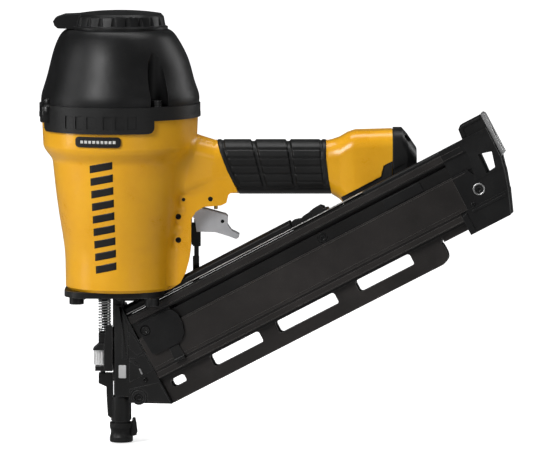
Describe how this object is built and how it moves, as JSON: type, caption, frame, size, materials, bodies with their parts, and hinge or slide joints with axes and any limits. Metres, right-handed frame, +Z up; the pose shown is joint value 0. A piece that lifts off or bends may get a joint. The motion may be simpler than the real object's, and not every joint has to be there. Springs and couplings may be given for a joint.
{
  "type": "pneumatic framing nailer",
  "caption": "Compressed-air nail gun: cast barrel with domed cap and exhaust deflector, rubber grip, trigger, sprung contact nose with depth wheel, and an inclined magazine with sliding pusher.",
  "frame": {"origin": "on the driver axis, at the tip of the nose", "axes": "+Z up along the driver axis, +X towards the rear end of the handle, -Y the near side where the magazine swings out"},
  "size_m": [0.3872, 0.1324, 0.3563],
  "materials": {
    "yellow": "semi-gloss powder coat on a magnesium casting",
    "black_plastic": "fine-textured moulded nylon",
    "mag_black": "black anodised extrusion",
    "black_metal": "black oxide steel",
    "rubber": "moulded rubber",
    "bumper": "seal rubber",
    "steel": "oiled steel",
    "chromed": "bright zinc plate",
    "trigger_alloy": "die cast, bead blasted",
    "brass": "machined"
  },
  "bodies": {
    "housing": {"main_housing": "yellow", "grip_sleeve": "rubber", "end_cap_gasket": "bumper", "handle_end_cap": "black_plastic", "end_cap_screws": "steel", "inlet_bushing": "steel", "inlet_filter": "brass", "cap_gasket": "bumper", "top_cap": "black_plastic", "top_collar": "rubber", "cap_screws": "steel", "deflector_screw": "steel", "cylinder_sleeve": "trigger_alloy", "cylinder_seals": "bumper", "piston_bumper": "bumper", "nose_body": "black_metal", "nose_cover": "black_metal", "nose_insert": "steel", "nose_screws": "steel", "nose_bolts": "steel", "spring_guide_rod": "steel", "trip_guide": "black_plastic", "guide_pins": "steel", "trigger_pin": "steel", "valve_body": "black_plastic", "valve_pin": "steel", "mag_channel": "mag_black", "mag_screw": "steel", "mag_track_strip": "steel", "mag_top_cover": "black_plastic", "mag_rear_cover": "black_plastic", "latch_mount": "black_metal", "mag_patch": "black_plastic", "mag_rear_cap": "black_plastic", "mag_rear_screws": "steel", "mag_end_plate": "chromed", "mag_bracket": "black_metal", "bracket_screws": "steel", "badge": "black_plastic"},
    "deflector": {"exhaust_deflector": "black_plastic"},
    "head_valve": {"head_valve": "black_plastic", "head_valve_spring": "chromed"},
    "drive": {"piston": "trigger_alloy", "piston_ring": "bumper", "driver_blade": "steel"},
    "trigger": {"trigger": "trigger_alloy", "lever_pin": "steel"},
    "trip_lever": {"trip_lever": "black_metal"},
    "valve_stem": {"valve_stem": "brass"},
    "trip_arm": {"trip_arm": "black_metal", "contact_spring": "chromed"},
    "depth_wheel": {"depth_wheel": "trigger_alloy"},
    "contact_foot": {"contact_foot": "black_metal", "no_mar_tip": "rubber"},
    "pusher": {"pusher": "black_plastic", "pusher_screw": "steel", "pusher_tab": "black_metal", "pusher_coil": "chromed"},
    "latch": {"mag_latch": "black_plastic"}
  },
  "joints": [
    {"name": "deflector_turn", "type": "hinge", "parent": "housing", "child": "deflector", "pos_m": [0, 0, 0.345], "axis": [0, 0, 1], "continuous": true},
    {"name": "head_valve_lift", "type": "slide", "parent": "housing", "child": "head_valve", "axis": [0, 0, 1], "range_m": [0, 0.006], "stiffness_N_per_m": 800, "deforming": ["head_valve_spring"]},
    {"name": "drive_stroke", "type": "slide", "parent": "housing", "child": "drive", "axis": [0, 0, -1], "range_m": [0, 0.093]},
    {"name": "trigger_pull", "type": "hinge", "parent": "housing", "child": "trigger", "pos_m": [0.0523, 0, 0.2025], "axis": [0, -1, 0], "range_deg": [0, 9], "stiffness_Nm_per_rad": 0.5},
    {"name": "lever_lift", "type": "hinge", "parent": "trigger", "child": "trip_lever", "pos_m": [0.084, 0, 0.1835], "axis": [0, 1, 0], "range_deg": [0, 28]},
    {"name": "stem_push", "type": "slide", "parent": "housing", "child": "valve_stem", "axis": [0, 0, 1], "range_m": [0, 0.0035]},
    {"name": "contact_trip", "type": "slide", "parent": "housing", "child": "trip_arm", "axis": [0, 0, 1], "range_m": [0, 0.01], "stiffness_N_per_m": 400, "deforming": ["contact_spring"]},
    {"name": "depth_wheel_turn", "type": "hinge", "parent": "trip_arm", "child": "depth_wheel", "pos_m": [-0.0151, 0, 0.0705], "axis": [0, 0, 1], "range_deg": [-720, 720]},
    {"name": "depth_set", "type": "slide", "parent": "trip_arm", "child": "contact_foot", "axis": [0, 0, 1], "range_m": [-0.0025, 0.0025]},
    {"name": "pusher_slide", "type": "slide", "parent": "housing", "child": "pusher", "axis": [0.8721, -0.1381, 0.4695], "range_m": [0, 0.245]},
    {"name": "latch_lift", "type": "hinge", "parent": "housing", "child": "latch", "pos_m": [0.16249, -0.02574, 0.19481], "axis": [-0.1564, -0.9877, 0], "range_deg": [-10, 0], "stiffness_Nm_per_rad": 0.05}
  ],
  "couplings": [
    {"joint": "stem_push", "follows": "trigger_pull", "m_per_rad": 0.021645},
    {"joint": "lever_lift", "follows": "contact_trip", "rad_per_m": 48.782},
    {"joint": "depth_wheel_turn", "follows": "depth_set", "rad_per_m": 5024}
  ]
}
